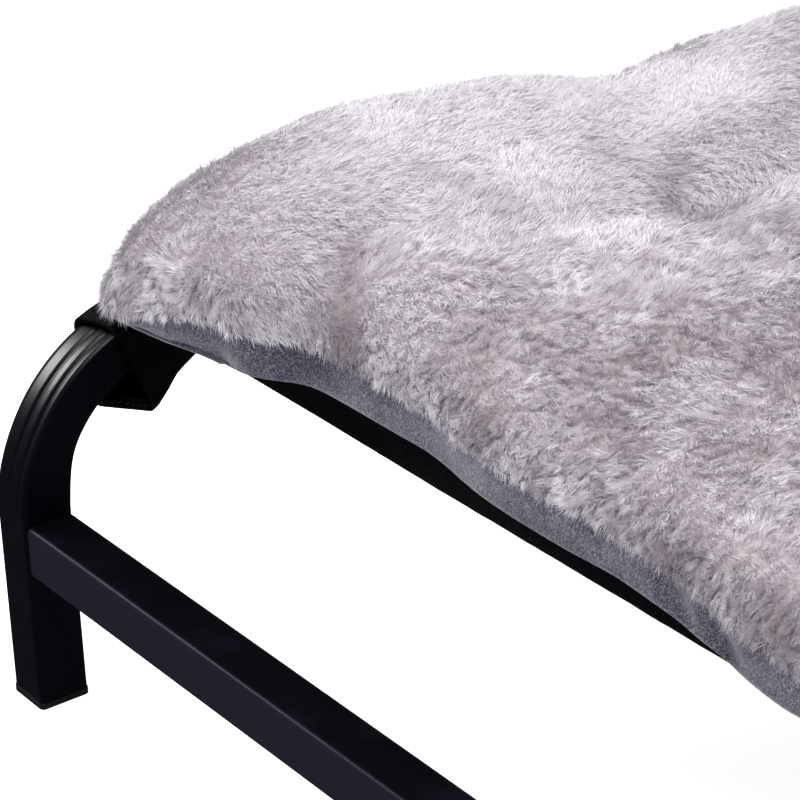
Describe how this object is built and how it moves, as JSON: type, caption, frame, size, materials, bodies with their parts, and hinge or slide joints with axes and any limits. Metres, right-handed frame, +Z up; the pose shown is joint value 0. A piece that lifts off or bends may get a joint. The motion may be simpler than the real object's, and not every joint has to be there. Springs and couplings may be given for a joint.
{
  "type": "raised dog bed",
  "caption": "Raised dog bed: black square-tube frame with bent-leg ends, low stretchers and a mesh sling, and a loose plush mat with a suede base lying on it.",
  "frame": {"origin": "centre of the bed's footprint, on the floor it stands on", "axes": "+Z up; +X along the bed's long side, towards the right end frame; -Y towards the front side, which the near stretcher runs along"},
  "size_m": [1.01, 0.7006, 0.2505],
  "materials": {
    "frame_black": "satin",
    "cap_black": "matte",
    "zinc_steel": "satin",
    "mesh_black": "matte",
    "sleeve_black": "matte",
    "suede_grey": "matte",
    "fibre_white": "matte",
    "plush_grey": "matte"
  },
  "bodies": {
    "frame": {"end_frame_left": "frame_black", "end_frame_right": "frame_black", "foot_cap_front_left": "cap_black", "foot_cap_front_right": "cap_black", "foot_cap_back_left": "cap_black", "foot_cap_back_right": "cap_black", "rail_spigots": "frame_black", "side_rail_front": "frame_black", "side_rail_back": "frame_black", "stretcher_front": "frame_black", "stretcher_back": "frame_black", "stretcher_end_nuts": "zinc_steel", "stretcher_bolts": "zinc_steel", "stretcher_washers": "zinc_steel", "sling_panel": "mesh_black", "sling_sleeve_front": "mesh_black", "sling_sleeve_back": "mesh_black", "sling_sleeve_left": "sleeve_black", "sling_sleeve_right": "sleeve_black", "cuff_hem_front_left": "sleeve_black", "cuff_hem_front_right": "sleeve_black", "cuff_hem_back_left": "sleeve_black", "cuff_hem_back_right": "sleeve_black"},
    "mat": {"mat_base": "suede_grey", "mat_filling": "fibre_white", "mat_top": "plush_grey"}
  },
  "joints": [
    {"name": "mat_lift", "type": "slide", "parent": "frame", "child": "mat", "axis": [0, 0, 1], "range_m": [0, 0.3]}
  ]
}
